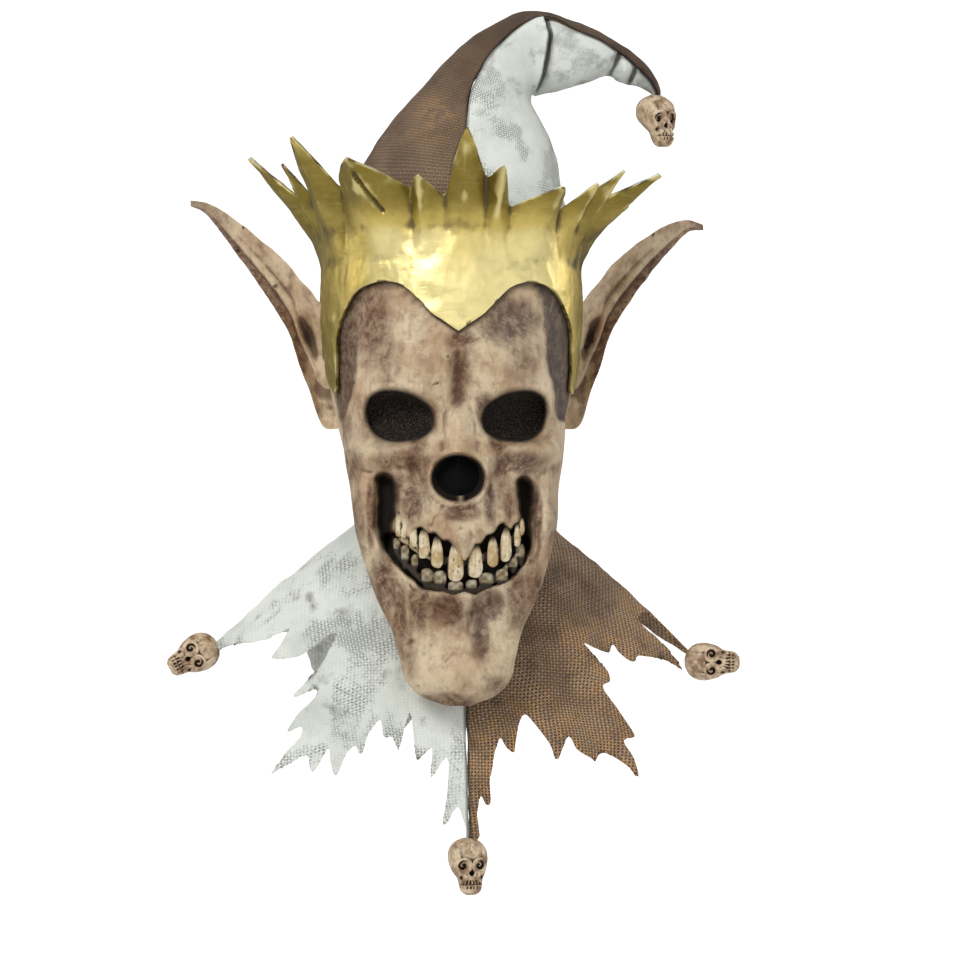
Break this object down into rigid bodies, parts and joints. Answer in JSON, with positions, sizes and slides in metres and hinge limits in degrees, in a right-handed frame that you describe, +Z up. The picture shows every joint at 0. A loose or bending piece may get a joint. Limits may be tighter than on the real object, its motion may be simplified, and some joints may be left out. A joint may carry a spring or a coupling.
{
  "type": "jester mask",
  "caption": "Over-the-head latex jester skull mask with a gold crown, a bent two-colour hat, pointed ears and a ragged two-colour collar hung with small skulls.",
  "frame": {"origin": "where the wearer's crown of the head meets the inside of the mask, in the middle of the head's hollow", "axes": "+Z up, the face looks along -Y, +X is at the right of someone who looks at the face"},
  "size_m": [0.4615, 0.2954, 0.7105],
  "materials": {
    "bone_latex": "matte latex painted as old bone with a brown wash in its hollows",
    "tooth_latex": "latex painted as stained teeth, slightly glossy",
    "black_mesh": "fine black mesh",
    "gold_latex": "latex under gold paint with a dark wash",
    "brown_latex": "latex with a canvas texture, brown with an orange rub",
    "white_latex": "latex with a canvas texture, chalky white over dark",
    "charm_latex": "antique bone with a dark wash"
  },
  "bodies": {
    "root": {"skull_head": "bone_latex", "upper_teeth": "tooth_latex", "lower_teeth": "tooth_latex", "eye_mesh_left": "black_mesh", "eye_mesh_right": "black_mesh", "nose_mesh": "black_mesh", "crown": "gold_latex", "hat_brown": "brown_latex", "hat_white": "white_latex", "ear_left": "bone_latex", "ear_right": "bone_latex", "collar_left": "white_latex", "collar_right": "brown_latex", "hat_skull": "charm_latex", "left_skull": "charm_latex", "right_skull": "charm_latex", "front_skull": "charm_latex"}
  },
  "joints": []
}
